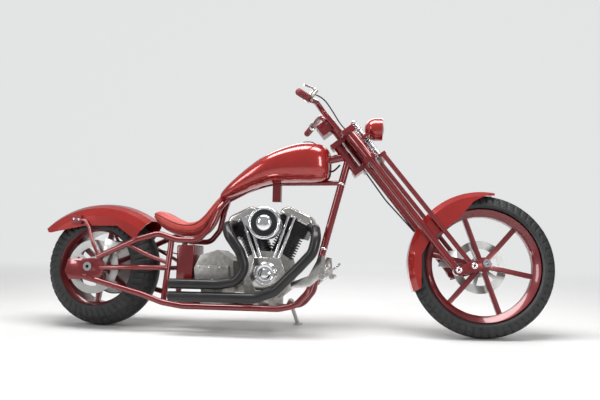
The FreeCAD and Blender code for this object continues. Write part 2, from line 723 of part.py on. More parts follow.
def drive_belt():
    """The belt's two runs and its bends round both pulleys, a running gap off the teeth."""
    y_low, y_high = REAR_DISC_Y, REAR_DISC_Y + BELT_W
    front_x, front_z, front_r = 690.0, 300.0, 46.3
    rear_r = PULLEY_R + 0.3
    thickness = 6.0
    span = math.hypot(front_x, front_z - REAR_TYRE_R)
    tilt = math.atan2(front_z - REAR_TYRE_R, front_x)
    spread = math.acos((rear_r - front_r) / span)
    bands = []
    for extra in (thickness, 0.0):
        corners = []
        for x, z, r, sign in ((0.0, REAR_TYRE_R, rear_r + extra, 1), (front_x, front_z, front_r + extra, 1),
                              (front_x, front_z, front_r + extra, -1), (0.0, REAR_TYRE_R, rear_r + extra, -1)):
            angle = tilt + sign * spread
            corners.append((x + r * math.cos(angle), z + r * math.sin(angle)))
        loop = side_plate(corners, y_low, y_high)
        loop = loop.fuse(disc(0, REAR_TYRE_R, rear_r + extra, y_low, y_high))
        bands.append(loop.fuse(disc(front_x, front_z, front_r + extra, y_low, y_high)))
    return largest(bands[0].cut(bands[1]))


def oil_tank(neighbours):
    body = side_plate([(462, 250), (462, 452), (560, 456), (560, 400), (552, 250)], -84, 84)
    shelf = box((440, -70, 236), (620, 70, 250))
    return largest(cut_by(fused([body, shelf]), neighbours))


def exhaust(route, neighbours):
    pipe = tube(route, EXHAUST_R, 70.0)
    tip, before = route[-1], route[-2]
    inward = (before - tip).normalize()
    pipe = pipe.cut(rod(tip - inward, tip + inward * 90, EXHAUST_R - EXHAUST_WALL))
    return largest(cut_by(pipe, neighbours))


def front_exhaust(neighbours):
    x = CRANK_X - 975
    return exhaust([vec(x + 1205, -60, 556), vec(x + 1236, -128, 545), vec(x + 1252, -188, 490),
                    vec(x + 1236, EXHAUST_Y, 416), vec(x + 1160, EXHAUST_Y, 334), vec(x + 1040, EXHAUST_Y, 216),
                    vec(x + 940, EXHAUST_Y, 180), vec(474, EXHAUST_Y, 178)], neighbours)


def rear_exhaust(neighbours):
    x = CRANK_X - 975
    return exhaust([vec(x + 772, -58, 566), vec(x + 762, -150, 552), vec(x + 792, -196, 500),
                    vec(x + 852, EXHAUST_Y, 420), vec(x + 884, EXHAUST_Y, 336), vec(x + 838, EXHAUST_Y, 262),
                    vec(x + 740, EXHAUST_Y, 245), vec(474, EXHAUST_Y, 245)], neighbours)


def forward_controls(rails):
    x = CRANK_X - 975
    plate = side_plate([(x + 1290, 400), (x + 1262, 404), (x + 1206, 300), (x + 1110, 262), (x + 1120, 232),
                        (x + 1216, 246), (x + 1296, 318)], -136, -126)
    stand_off = Part.makeCylinder(12, 106, vec(x + 1248, -130, 352), Y_AXIS)
    peg = Part.makeCylinder(15, 112, vec(x + 1290, -244, 296), Y_AXIS)
    pivot = Part.makeCylinder(20, 28, vec(x + 1276, -160, 320), Y_AXIS)
    lever = tube([vec(x + 1276, -150, 320), vec(x + 1318, -156, 352), vec(x + 1322, -236, 368)], 7.0, 20.0)
    side = cut_by(fused([plate, stand_off, peg, pivot, lever]), rails)
    return Part.makeCompound([largest(side), mirrored(largest(side))])


def rear_axle():
    body = disc(0, REAR_TYRE_R, AXLE_R, -REAR_AXLE_HALF, REAR_AXLE_HALF)
    hub_half = REAR_DISC_Y + BELT_W
    pieces = [body]
    for side in (-1, 1):
        start, end = sorted((side * (STAY_Y + PLATE_T / 2), side * REAR_AXLE_HALF))
        pieces.append(disc(0, REAR_TYRE_R, 24, start, end))
        start, end = sorted((side * (hub_half + TREE_GAP), side * (STAY_Y - PLATE_T / 2)))
        pieces.append(disc(0, REAR_TYRE_R, 18, start, end))
    return fused(pieces).cut(disc(0, REAR_TYRE_R, AXLE_BORE_R, -REAR_AXLE_HALF - 1, REAR_AXLE_HALF + 1))


def rear_caliper(neighbours):
    block = side_plate([(58, 420), (140, 398), (160, 452), (78, 482)], -154, -REAR_DISC_Y + 14)
    block = block.cut(disc(0, REAR_TYRE_R, REAR_DISC_R + 6, -REAR_DISC_Y - DISC_T - 5, -REAR_DISC_Y + 5))
    arm = side_plate([(58, 352), (84, 336), (118, 424), (74, 440)], -STAY_Y + 6, -153)
    return largest(cut_by(fused([block, arm]), neighbours))


# ---------------------------------------------------------------- stand and parked pose


def stand_top():
    return vec(STAND_X, STAND_Y + 12, STAND_Z)


def parked_placement():
    """Lean to the left about the length axis; the rear wheel then sits on the floor at z 0."""
    lean = FreeCAD.Placement(vec(0, 0, 0), FreeCAD.Rotation(vec(1, 0, 0), -LEAN))
    drops = []
    rear_axis = lean.multVec(Y_AXIS) - lean.multVec(vec(0, 0, 0))
    drops.append((0.0, lowest_of_tyre(lean.multVec(vec(0, 0, REAR_TYRE_R)), rear_axis,
                                      REAR_TYRE_R, REAR_TYRE_W)))
    whole = lean.multiply(rake_placement()).multiply(steer_placement())
    axle_n, axle_s = fork_axle()
    centre = whole.multVec(vec(axle_n, 0, axle_s))
    axis = whole.multVec(vec(axle_n, 1, axle_s)) - centre
    drops.append((centre.x, lowest_of_tyre(centre, axis, FRONT_TYRE_R, FRONT_TYRE_W)))
    (rear_x, rear_low), (front_x, front_low) = drops
    pitch = math.degrees(math.atan2(front_low - rear_low, front_x - rear_x))
    level = FreeCAD.Placement(vec(0, 0, 0), FreeCAD.Rotation(Y_AXIS, pitch)).multiply(lean)
    centre = level.multVec(vec(0, 0, REAR_TYRE_R))
    axis = level.multVec(vec(0, 1, REAR_TYRE_R)) - centre
    lift = -lowest_of_tyre(centre, axis, REAR_TYRE_R, REAR_TYRE_W)
    return FreeCAD.Placement(vec(0, 0, lift), FreeCAD.Rotation()).multiply(level)


def lowest_of_tyre(centre, axis, tyre_r, width):
    crown = width / 2
    tilt = axis.z / axis.Length
    return centre.z - (tyre_r - crown) * math.sqrt(1 - tilt ** 2) - crown


def side_stand(parked):
    """One bent leg from its pivot to a foot that meets the floor flat."""
    top = stand_top()
    direction = vec(STAND_FORWARD, STAND_OUT, -1).normalize()
    world_top = parked.multVec(top)
    world_dir = parked.Rotation.multVec(direction)
    foot_t = 8.0
    length = (world_top.z - foot_t / 2) / -world_dir.z
    leg = rod(top, top + direction * length, STAND_R)
    floor_up = parked.Rotation.inverted().multVec(vec(0, 0, 1))
    foot_mid = top + direction * length
    foot = Part.makeCylinder(FOOT_R, foot_t, foot_mid - floor_up * (foot_t / 2), floor_up)
    knuckle = rod(top - stand_axis() * KNUCKLE_HALF, top + stand_axis() * KNUCKLE_HALF, 17)
    floor = Part.makeBox(4000, 4000, 400, vec(-1000, -2000, -400))
    floor.Placement = parked.inverse()
    body = fused([leg, foot, knuckle]).cut(floor)
    hole = Part.makeCylinder(6.05, 60, top - stand_axis() * 30, stand_axis())
    return largest(body.cut(hole))


def stand_axis():
    return vec(0.11, 0.86, 0.5).normalize()


def stand_bracket(rail):
    """A boss on the left rail with the headed pivot pin that carries the stand."""
    top = stand_top()
    axis = stand_axis()
    seat_at = KNUCKLE_HALF + 0.5
    boss = rod(top - axis * 40, top - axis * seat_at, 17)
    pin = rod(top - axis * 20, top + axis * (seat_at + 7), 6)
    head = rod(top + axis * seat_at, top + axis * (seat_at + 7), 12)
    return largest(fused([boss, pin, head]).cut(rail))


# ---------------------------------------------------------------- assembly


def fork_parts():
    shell, stays = front_fender()
    legs = rigid_fork()
    fender = cut_by(fused([shell] + stays), [legs])
    lamp, lens = lamp_shapes()
    springs = spring_fork()
    tree = upper_tree()
    bars = handlebar()
    return {"rigid_fork": legs, "upper_tree": cut_by(tree, [legs]), "spring_fork": cut_by(springs, [tree]),
            "fork_springs": fork_springs(), "fork_rockers": fork_rockers(), "front_axle": front_axle(),
            "front_caliper": front_caliper(), "handlebar": cut_by(bars, [tree]), "hand_grips": hand_grips(),
            "hand_levers": hand_levers(), "headlamp": cut_by(lamp, [tree]), "headlamp_lens": lens,
            "front_fender": largest(fender), "brake_hose": cut_by(brake_hose(), [legs])}


def engine_parts(rails):
    cylinders = {"front_cylinder": finned_cylinder(CYLINDER_ANGLE),
                 "rear_cylinder": finned_cylinder(-CYLINDER_ANGLE)}
    rockers = {"front_rocker_box": rocker_box(CYLINDER_ANGLE), "rear_rocker_box": rocker_box(-CYLINDER_ANGLE)}
    parts = dict(cylinders)
    parts["rear_cylinder"] = largest(parts["rear_cylinder"].cut(parts["front_cylinder"]))
    parts.update(rockers)
    top_ends = list(parts.values())
    parts["crankcase"] = crankcase(top_ends, rails)
    parts["cam_cover"] = cam_cover()
    parts["pushrod_tubes"] = pushrod_tubes(top_ends + [parts["cam_cover"]])
    parts["air_cleaner"] = air_cleaner(list(parts["pushrod_tubes"].Solids) + top_ends)
    parts["transmission"] = transmission([parts["crankcase"]] + rails)
    parts["primary_cover"] = primary_cover()
    parts["drive_belt"] = drive_belt()
    parts["rear_exhaust"] = rear_exhaust(top_ends + [parts["crankcase"]])
    parts["front_exhaust"] = front_exhaust(top_ends + [parts["crankcase"], parts["rear_exhaust"]])
    return parts


def chassis_parts():
    backbone = frame_backbone()
    down_tube = frame_down_tube(backbone)
    right_rail = frame_rail(-1, down_tube)
    left_rail = frame_rail(1, down_tube)
    parts = {"frame_backbone": backbone, "frame_down_tube": down_tube,
             "frame_engine_tube": largest(frame_engine_tube(down_tube).cut(backbone)),
             "frame_rail_right": right_rail, "frame_rail_left": left_rail,
             "seat_rail_right": seat_rail(-1, backbone), "seat_rail_left": seat_rail(1, backbone)}
    for name, side in (("right", -1), ("left", 1)):
        stay = rear_stay(side, [parts["seat_rail_" + name], parts["frame_rail_" + name]])
        parts["rear_stay_" + name] = largest(stay)
    parts["rear_axle"] = rear_axle()
    frame = list(parts.values())
    parts.update(engine_parts(frame))
    parts["frame_engine_tube"] = largest(cut_by(parts["frame_engine_tube"],
                                                [parts["front_cylinder"], parts["rear_cylinder"],
                                                 parts["front_rocker_box"], parts["rear_rocker_box"]]))
    parts["oil_tank"] = oil_tank(frame + [parts["transmission"]])
    parts["fuel_tank"] = fuel_tank(frame)
    parts["fuel_cap"] = fuel_cap(parts["fuel_tank"])
    parts["rear_fender"] = rear_fender(frame)
    parts["seat"] = seat(frame + [parts["fuel_tank"], parts["rear_fender"], parts["oil_tank"]])
    parts["fender_struts"] = fender_struts(frame + [parts["rear_fender"]])
    parts["rear_caliper"] = rear_caliper(frame)
    parts["forward_controls"] = forward_controls([right_rail, left_rail, down_tube, parts["front_exhaust"]])
    parts["stand_bracket"] = stand_bracket(left_rail)
    return parts


def bodies():
    """Every node's upright shape, grouped by the rigid body that it moves with."""
    return {"chassis": chassis_parts(), "fork": fork_parts(), "front_wheel": front_wheel_parts(),
            "rear_wheel": rear_wheel_parts(), "stand": {"side_stand": side_stand(parked_placement())}}


def upright_placements():
    axle_n, axle_s = fork_axle()
    fork = rake_placement().multiply(steer_placement())
    still = FreeCAD.Placement()
    return {"chassis": still, "stand": still, "fork": fork,
            "front_wheel": fork.multiply(FreeCAD.Placement(vec(axle_n, 0, axle_s), FreeCAD.Rotation())),
            "rear_wheel": FreeCAD.Placement(vec(0, 0, REAR_TYRE_R), FreeCAD.Rotation())}


def placed(shape, placement):
    copy = shape.copy()
    copy.Placement = placement.multiply(copy.Placement)
    return copy


def parked_parts():
    """All nodes as parked, with the base of their box centred on the origin; and that placement."""
    parked = parked_placement()
    upright = upright_placements()
    shapes = {}
    for body, parts in bodies().items():
        for name, shape in parts.items():
            shapes[name] = placed(shape, parked.multiply(upright[body]))
    total = FreeCAD.BoundBox()
    for shape in shapes.values():
        total.add(shape.optimalBoundingBox(True, False))
    shift = vec(-total.Center.x, -total.Center.y, -total.ZMin)
    moved = FreeCAD.Placement(shift, FreeCAD.Rotation())
    shapes = {name: placed(shape, moved) for name, shape in shapes.items()}
    return shapes, moved.multiply(parked)


def main():
    os.makedirs("parts", exist_ok=True)
    shapes, _ = parked_parts()
    for name, shape in sorted(shapes.items()):
        shape.exportStep("parts/" + name + ".step")
        print(name, len(shape.Solids), shape.isValid(), round(shape.Volume))


if __name__ == "__main__":
    main()
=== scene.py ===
import json
import math

import bmesh
import bpy
from mathutils import Matrix, Vector


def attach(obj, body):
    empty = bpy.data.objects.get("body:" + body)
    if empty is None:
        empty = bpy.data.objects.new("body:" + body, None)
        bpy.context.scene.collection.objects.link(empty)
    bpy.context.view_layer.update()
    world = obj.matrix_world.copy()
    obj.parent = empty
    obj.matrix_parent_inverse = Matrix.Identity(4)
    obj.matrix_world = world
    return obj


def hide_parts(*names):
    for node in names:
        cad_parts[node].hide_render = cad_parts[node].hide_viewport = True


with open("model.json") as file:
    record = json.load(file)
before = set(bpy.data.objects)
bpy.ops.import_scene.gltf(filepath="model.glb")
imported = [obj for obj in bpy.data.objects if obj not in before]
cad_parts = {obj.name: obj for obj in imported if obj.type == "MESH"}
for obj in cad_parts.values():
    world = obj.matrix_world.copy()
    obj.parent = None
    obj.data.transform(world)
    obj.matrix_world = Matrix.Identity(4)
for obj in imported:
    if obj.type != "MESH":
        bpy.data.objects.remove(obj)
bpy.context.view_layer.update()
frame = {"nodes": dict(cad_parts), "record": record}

# ---------------------------------------------------------------- the bike's own axes, from the joints

REAR_AXLE_HEIGHT = 0.326
HEAD_FORWARD = 1.385
HEAD_RISE = 0.614
FRONT_TYRE_R, FRONT_TYRE_HALF, FRONT_RIM_R = 0.370, 0.063, 0.298
REAR_TYRE_R, REAR_TYRE_HALF, REAR_RIM_R = 0.326, 0.115, 0.240
CRANK = Vector((0.975, 0.0, 0.290))
CYLINDER_ANGLE = math.radians(25)


def joint(name):
    found = [j for j in frame["record"]["behaviour"]["joints"] if j["name"] == name][0]
    return Vector(found["pos_m"]), Vector(found["axis"]).normalized()


def axes_matrix(x_axis, y_axis, z_axis, origin):
    turn = Matrix((x_axis, y_axis, z_axis)).transposed().to_4x4()
    return Matrix.Translation(origin) @ turn


def bike_matrix():
    """Upright bike coordinates, x forward from the rear axle and z up from the ground, to the scene."""
    rear, left = joint("rear_wheel_turn")
    head, _ = joint("steering")
    toward = (head - rear).normalized()
    tilt = math.atan2(HEAD_RISE, HEAD_FORWARD)
    up_of_toward = toward.cross(left).normalized()
    forward = toward * math.cos(tilt) - up_of_toward * math.sin(tilt)
    up = toward * math.sin(tilt) + up_of_toward * math.cos(tilt)
    return axes_matrix(forward, left, up, rear - up * REAR_AXLE_HEIGHT)


def fork_matrix():
    """Steering-axis coordinates: forward of the axis, left, and up along it."""
    head, up = joint("steering")
    _, left = joint("front_wheel_turn")
    return axes_matrix(left.cross(up).normalized(), left, up, head)


def wheel_matrix(name):
    centre, left = joint(name)
    up = Vector((0, 0, 1))
    forward = left.cross(up).normalized()
    return axes_matrix(forward, left, forward.cross(left).normalized(), centre)


BIKE = bike_matrix()
FORK = fork_matrix()
FRONT_WHEEL = wheel_matrix("front_wheel_turn")
REAR_WHEEL = wheel_matrix("rear_wheel_turn")

# ---------------------------------------------------------------- materials


def material(name, colour, metallic=0.0, roughness=0.4, coat=0.0, vary=0.06, vary_scale=14.0,
             bump=0.0, bump_scale=300.0, stretch=(1, 1, 1), pattern="noise", rough_vary=0.05):
    mat = bpy.data.materials.new(name)
    mat.use_nodes = True
    tree = mat.node_tree
    shader = tree.nodes["Principled BSDF"]
    shader.inputs["Metallic"].default_value = metallic
    shader.inputs["Coat Weight"].default_value = coat
    shader.inputs["Coat Roughness"].default_value = 0.03
    place = tree.nodes.new("ShaderNodeTexCoord")
    mapping = tree.nodes.new("ShaderNodeMapping")
    mapping.inputs["Scale"].default_value = stretch
    tree.links.new(place.outputs["Object"], mapping.inputs["Vector"])
    clouds = tree.nodes.new("ShaderNodeTexNoise")
    clouds.inputs["Scale"].default_value = vary_scale
    clouds.inputs["Detail"].default_value = 6
    tree.links.new(mapping.outputs["Vector"], clouds.inputs["Vector"])
    ramp = tree.nodes.new("ShaderNodeValToRGB")
    dark = [c * (1 - vary) for c in colour] + [1]
    light = [min(1, c * (1 + vary)) for c in colour] + [1]
    ramp.color_ramp.elements[0].position = 0.35
    ramp.color_ramp.elements[0].color = dark
    ramp.color_ramp.elements[1].position = 0.65
    ramp.color_ramp.elements[1].color = light
    tree.links.new(clouds.outputs["Fac"], ramp.inputs["Fac"])
    tree.links.new(ramp.outputs["Color"], shader.inputs["Base Color"])
    gloss = tree.nodes.new("ShaderNodeMapRange")
    gloss.inputs["To Min"].default_value = max(0.02, roughness - rough_vary)
    gloss.inputs["To Max"].default_value = roughness + rough_vary
    tree.links.new(clouds.outputs["Fac"], gloss.inputs["Value"])
    tree.links.new(gloss.outputs["Result"], shader.inputs["Roughness"])
    if bump:
        kind = {"noise": "ShaderNodeTexNoise", "cells": "ShaderNodeTexVoronoi"}[pattern]
        grain = tree.nodes.new(kind)
        grain.inputs["Scale"].default_value = bump_scale
        tree.links.new(mapping.outputs["Vector"], grain.inputs["Vector"])
        relief = tree.nodes.new("ShaderNodeBump")
        relief.inputs["Strength"].default_value = bump
        relief.inputs["Distance"].default_value = 0.001
        out = "Fac" if pattern == "noise" else "Distance"
        tree.links.new(grain.outputs[out], relief.inputs["Height"])
        tree.links.new(relief.outputs["Normal"], shader.inputs["Normal"])
    return mat


PAINT = material("red_candy", (0.34, 0.012, 0.009), metallic=0.3, roughness=0.2, coat=1.0, vary=0.05,
                 bump=0.03, bump_scale=900)
FRAME_PAINT = material("red_frame", (0.19, 0.008, 0.011), metallic=0.3, roughness=0.2, coat=1.0,
                       vary=0.06, bump=0.03, bump_scale=900)
WHEEL_PAINT = material("red_wheel", (0.15, 0.007, 0.011), metallic=0.3, roughness=0.3, coat=0.8,
                       vary=0.08, bump=0.03, bump_scale=700)
LEATHER = material("red_leather", (0.42, 0.045, 0.035), roughness=0.42, vary=0.12, vary_scale=30,
                   bump=0.5, bump_scale=420, pattern="cells")
PIPING = material("seat_piping", (0.2, 0.015, 0.012), roughness=0.5, vary=0.1, bump=0.4, bump_scale=700,
                  pattern="cells")
TYRE = material("tyre_rubber", (0.017, 0.018, 0.018), roughness=0.62, vary=0.25, vary_scale=22, bump=0.35,
                bump_scale=500)
CHROME = material("bright_chrome", (0.82, 0.82, 0.84), metallic=1.0, roughness=0.07, vary=0.03,
                  rough_vary=0.02)
POLISHED = material("polished_alloy", (0.66, 0.65, 0.62), metallic=1.0, roughness=0.2, vary=0.1,
                    vary_scale=40, bump=0.12, bump_scale=160)
CAST = material("cast_alloy", (0.36, 0.35, 0.33), metallic=0.9, roughness=0.38, vary=0.15, vary_scale=60,
                bump=0.5, bump_scale=500)
BLACK = material("satin_black", (0.016, 0.016, 0.017), metallic=0.2, roughness=0.36, vary=0.2, bump=0.15,
                 bump_scale=600)
EXHAUST = material("ceramic_black", (0.022, 0.021, 0.022), metallic=0.3, roughness=0.3, vary=0.25,
                   vary_scale=9, bump=0.1, bump_scale=800)
BRUSHED = material("brushed_steel", (0.56, 0.56, 0.55), metallic=1.0, roughness=0.3, vary=0.08,
                   vary_scale=80, bump=0.2, bump_scale=90, stretch=(1, 1, 14))
HOSE = material("black_rubber", (0.012, 0.012, 0.012), roughness=0.55, vary=0.2, bump=0.3, bump_scale=900)
GRIP = material("red_grip", (0.2, 0.02, 0.022), roughness=0.5, vary=0.15, bump=0.3, bump_scale=700)
FLOOR = material("studio_floor", (0.72, 0.715, 0.71), roughness=0.75, vary=0.01, vary_scale=2, bump=0.02,
                 bump_scale=40)


def glass_material():
    mat = bpy.data.materials.new("lamp_glass")
    mat.use_nodes = True
    tree = mat.node_tree
    shader = tree.nodes["Principled BSDF"]
    shader.inputs["Metallic"].default_value = 0.55
    shader.inputs["Coat Weight"].default_value = 1.0
    flutes = tree.nodes.new("ShaderNodeTexWave")
    flutes.inputs["Scale"].default_value = 60
    relief = tree.nodes.new("ShaderNodeBump")
    relief.inputs["Strength"].default_value = 0.4
    relief.inputs["Distance"].default_value = 0.002
    # The ramp paints shade into the flute grooves and light onto the flute ridges: the base colour darkens
    # where the flute relief is low and lightens where it is high.
    ramp = tree.nodes.new("ShaderNodeValToRGB")
    ramp.color_ramp.elements[0].color = (0.62, 0.64, 0.66, 1)
    ramp.color_ramp.elements[1].color = (0.86, 0.87, 0.88, 1)
    tree.links.new(flutes.outputs["Fac"], relief.inputs["Height"])
    tree.links.new(flutes.outputs["Fac"], ramp.inputs["Fac"])
    tree.links.new(ramp.outputs["Color"], shader.inputs["Base Color"])
    tree.links.new(relief.outputs["Normal"], shader.inputs["Normal"])
    shader.inputs["Roughness"].default_value = 0.12
    return mat


GLASS = glass_material()

NODE_MATERIALS = {
    PAINT: ["fuel_tank", "rear_fender", "front_fender", "headlamp"],
    FRAME_PAINT: ["frame_backbone", "frame_down_tube", "frame_engine_tube", "frame_rail_left",
                  "frame_rail_right", "seat_rail_left", "seat_rail_right", "rear_stay_left",
                  "rear_stay_right", "fender_struts", "rigid_fork", "upper_tree", "spring_fork",
                  "fork_rockers", "handlebar", "oil_tank", "stand_bracket"],
    WHEEL_PAINT: ["front_rim", "rear_rim"],
    POLISHED: ["cam_cover", "front_rocker_box", "rear_rocker_box", "primary_cover", "forward_controls",
               "hand_levers"],
    CAST: ["crankcase", "transmission"],
    CHROME: ["pushrod_tubes", "air_cleaner", "front_axle", "rear_axle"],
    BLACK: ["front_cylinder", "rear_cylinder", "fuel_cap"],
    EXHAUST: ["front_exhaust", "rear_exhaust"],
    BRUSHED: ["front_disc", "rear_disc", "front_caliper", "rear_caliper", "rear_pulley", "side_stand"],
    HOSE: ["drive_belt", "brake_hose"],
    GLASS: ["headlamp_lens"],
}


def dress_frame():
    for mat, names in NODE_MATERIALS.items():
        for name in names:
            node = frame["nodes"][name]
            for index in range(len(node.material_slots)):
                node.material_slots[index].material = mat


# ---------------------------------------------------------------- mesh helpers


def finish_piece(name, mesh_data, mat, body, smooth=True):
    piece = bpy.data.objects.new(name, mesh_data)
    bpy.context.scene.collection.objects.link(piece)
    piece.data.materials.append(mat)
    if smooth and hasattr(piece.data, "polygons"):
        for face in piece.data.polygons:
            face.use_smooth = True
    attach(piece, body)
    return piece


def mesh_piece(name, points, faces, mat, body, smooth=True):
    data = bpy.data.meshes.new(name)
    data.from_pydata([tuple(p) for p in points], [], faces)
    data.update()
    work = bmesh.new()
    work.from_mesh(data)
    bmesh.ops.recalc_face_normals(work, faces=work.faces)
    work.to_mesh(data)
    work.free()
    return finish_piece(name, data, mat, body, smooth)


def grid_faces(rows, columns, wrap_rows=False, wrap_columns=False, first=0):
    faces = []
    for r in range(rows if wrap_rows else rows - 1):
        for c in range(columns if wrap_columns else columns - 1):
            r2, c2 = (r + 1) % rows, (c + 1) % columns
            faces.append((first + r * columns + c, first + r * columns + c2,
                          first + r2 * columns + c2, first + r2 * columns + c))
    return faces


def lathe(matrix, centre, axis, profile, steps=48):
    """Points and faces of a shape turned about axis at centre, from (along, radius) pairs."""
    axis = Vector(axis).normalized()
    side = axis.orthogonal().normalized()
    other = axis.cross(side)
    points = []
    for step in range(steps):
        angle = 2 * math.pi * step / steps
        out = side * math.cos(angle) + other * math.sin(angle)
        for along, radius in profile:
            points.append(matrix @ (Vector(centre) + axis * along + out * radius))
    return points, grid_faces(steps, len(profile), wrap_rows=True)


def lathe_set(name, matrix, shapes, mat, body, steps=40):
    points, faces = [], []
    for centre, axis, profile in shapes:
        more_points, more_faces = lathe(matrix, centre, axis, profile, steps)
        shift = len(points)
        points += more_points
        faces += [tuple(i + shift for i in face) for face in more_faces]
    return mesh_piece(name, points, faces, mat, body)


def bolt_profile(radius, height):
    return [(0, radius), (height * 0.75, radius), (height, radius * 0.82), (height, radius * 0.45),
            (height * 0.6, radius * 0.42), (height * 0.6, 0.0001)]


def curve_piece(name, matrix, routes, radius, mat, body, order=3):
    data = bpy.data.curves.new(name, "CURVE")
    data.dimensions = "3D"
    data.bevel_depth = radius
    data.bevel_resolution = 5
    data.resolution_u = 10
    data.use_fill_caps = True
    for route in routes:
        spline = data.splines.new("NURBS")
        spline.points.add(len(route) - 1)
        for index, point in enumerate(route):
            spline.points[index].co = (*(matrix @ Vector(point)), 1)
        spline.order_u = order
        spline.use_endpoint_u = True
    return finish_piece(name, data, mat, body)


SOFTENED = {"crankcase": (0.006, 0.10), "transmission": (0.007, 0.10), "front_rocker_box": (0.014, 0.10),
            "rear_rocker_box": (0.014, 0.10), "cam_cover": (0.005, 0.10), "primary_cover": (0.012, 0.10),
            "upper_tree": (0.006, 0.10), "rigid_fork": (0.006, 0.35), "spring_fork": (0.004, 0.35),
            "oil_tank": (0.010, 0.10), "forward_controls": (0.0025, 0.35), "fork_rockers": (0.004, 0.10),
            "rear_caliper": (0.004, 0.10), "front_caliper": (0.004, 0.10), "air_cleaner": (0.008, 0.35),
            "front_rim": (0.004, 0.35), "rear_rim": (0.004, 0.35), "handlebar": (0.005, 0.35),
            "rear_stay_right": (0.002, 0.5), "rear_stay_left": (0.002, 0.5), "hand_levers": (0.0015, 0.5)}


def softened(node, width, sharp_angle):
    """A copy of a CAD node with its sharp edges rounded, which stands for the node."""
    source = frame["nodes"][node]
    data = source.data.copy()
    work = bmesh.new()
    work.from_mesh(data)
    work.transform(source.matrix_world)
    bmesh.ops.remove_doubles(work, verts=work.verts, dist=0.00002)
    bmesh.ops.dissolve_limit(work, angle_limit=math.radians(1.5), verts=work.verts, edges=work.edges)
    sharp = [e for e in work.edges if len(e.link_faces) == 2 and e.calc_face_angle(0) > 0.35 + sharp_angle]
    bmesh.ops.bevel(work, geom=sharp, offset=width, offset_type="OFFSET", segments=3, profile=0.5,
                    affect="EDGES", clamp_overlap=True)
    bmesh.ops.triangulate(work, faces=[f for f in work.faces if len(f.verts) > 4])
    work.to_mesh(data)
    work.free()
    piece = bpy.data.objects.new(node + "_rounded", data)
    bpy.context.scene.collection.objects.link(piece)
    for face in data.polygons:
        face.use_smooth = True
    data.set_sharp_from_angle(angle=0.6)
    bodies = frame["record"]["behaviour"]["bodies"]
    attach(piece, [name for name, nodes in bodies.items() if node in nodes][0])
    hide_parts(node)


def soften_nodes():
    for node, (width, sharp_angle) in SOFTENED.items():
        softened(node, width, sharp_angle)


# ---------------------------------------------------------------- tyres


def tyre_piece(name, node, matrix, tyre_r, half, rim_r, body, blocks):
    """A turned tyre whose crown is cut by zigzag grooves and slanted side grooves."""
    around, across = blocks * 8, 57
    groove_depth, crown_zone = 0.006, 0.80
    points = []
    bead = half - 0.016
    for step in range(around):
        angle = 2 * math.pi * step / around
        phase = (step % 8) / 8
        for column in range(across):
            t = -1 + 2 * column / (across - 1)
            sweep = t * math.radians(96)
            y = (half - 0.0005) * math.sin(sweep)
            r = tyre_r - half + (half - 0.0005) * math.cos(sweep)
            if abs(t) > 0.96:
                y = math.copysign(bead, t)
                r = rim_r
            zig = 0.05 * abs(phase * 2 - 1)
            in_ring = abs(abs(t) - 0.16 - zig) < 0.035 or abs(abs(t) - 0.45 - zig) < 0.03
            in_cut = 0.22 < abs(t) < crown_zone and abs(phase - 0.5 + 0.35 * abs(t)) < 0.13
            if in_ring or in_cut:
                r -= groove_depth * math.cos(sweep)
                y -= groove_depth * math.sin(sweep)
            points.append(matrix @ Vector((r * math.cos(angle), y, r * math.sin(angle))))
    piece = mesh_piece(name, points, grid_faces(around, across, wrap_rows=True), TYRE, body)
    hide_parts(node)


# ---------------------------------------------------------------- bodywork


def superellipse(x, low, high, half, power, count):
    mid, tall = (low + high) / 2, (high - low) / 2
    ring = []
    for index in range(count):
        angle = 2 * math.pi * index / count
        c, s = math.cos(angle), math.sin(angle)
        ring.append(Vector((x, half * math.copysign(abs(c) ** (2 / power), c),
                            mid + tall * math.copysign(abs(s) ** (2 / power), s))))
    return ring


def smooth_between(stations, t):
    """Catmull-Rom through the stations; t runs from 0 to their number less one."""
    last = len(stations) - 1
    i = min(int(t), last - 1)
    f = t - i
    p0, p1 = stations[max(i - 1, 0)], stations[i]
    p2, p3 = stations[i + 1], stations[min(i + 2, last)]
    return [0.5 * (2 * b + (c - a) * f + (2 * a - 5 * b + 4 * c - d) * f * f
                   + (3 * b - a - 3 * c + d) * f ** 3) for a, b, c, d in zip(p0, p1, p2, p3)]


def lofted(name, stations, power, mat, body, rows=90, count=72):
    rings = [smooth_between(stations, (len(stations) - 1) * row / (rows - 1)) for row in range(rows)]
    points = []
    for x, low, high, half in rings:
        points += [BIKE @ (p / 1000) for p in superellipse(x, low, high, half, power, count)]
    faces = grid_faces(rows, count, wrap_columns=True)
    for base in (0, (rows - 1) * count):
        middle = sum((points[base + k] for k in range(count)), Vector()) / count
        points.append(middle)
        faces += [(len(points) - 1, base + k, base + (k + 1) % count) for k in range(count)]
    return mesh_piece(name, points, faces, mat, body)


SEAT_STATIONS = [(704, 702, 740, 28), (680, 652, 727, 51), (645, 572, 683, 73), (604, 522, 629, 83),
                 (560, 505, 591, 91), (500, 504, 583, 101), (440, 510, 603, 105), (385, 532, 631, 103),
                 (345, 562, 643, 91), (320, 590, 639, 75)]


def seat_piece():
    seat = lofted("seat_pad", SEAT_STATIONS, 2.6, LEATHER, "chassis")
    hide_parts("seat")
    for power, lift, name in ((2.6, 0.42, "seat_piping_high"), (2.6, -0.3, "seat_piping_low")):
        route_right = [((x) / 1000, -(half * (1 - abs(lift) ** power) ** (1 / power) + 1) / 1000,
                        ((low + high) / 2 + lift * (high - low) / 2) / 1000)
                       for x, low, high, half in SEAT_STATIONS]
        route_left = [(x, -y, z) for x, y, z in route_right]
        curve_piece(name, BIKE, [route_right, route_left], 0.0028, PIPING, "chassis")


# ---------------------------------------------------------------- engine dressing


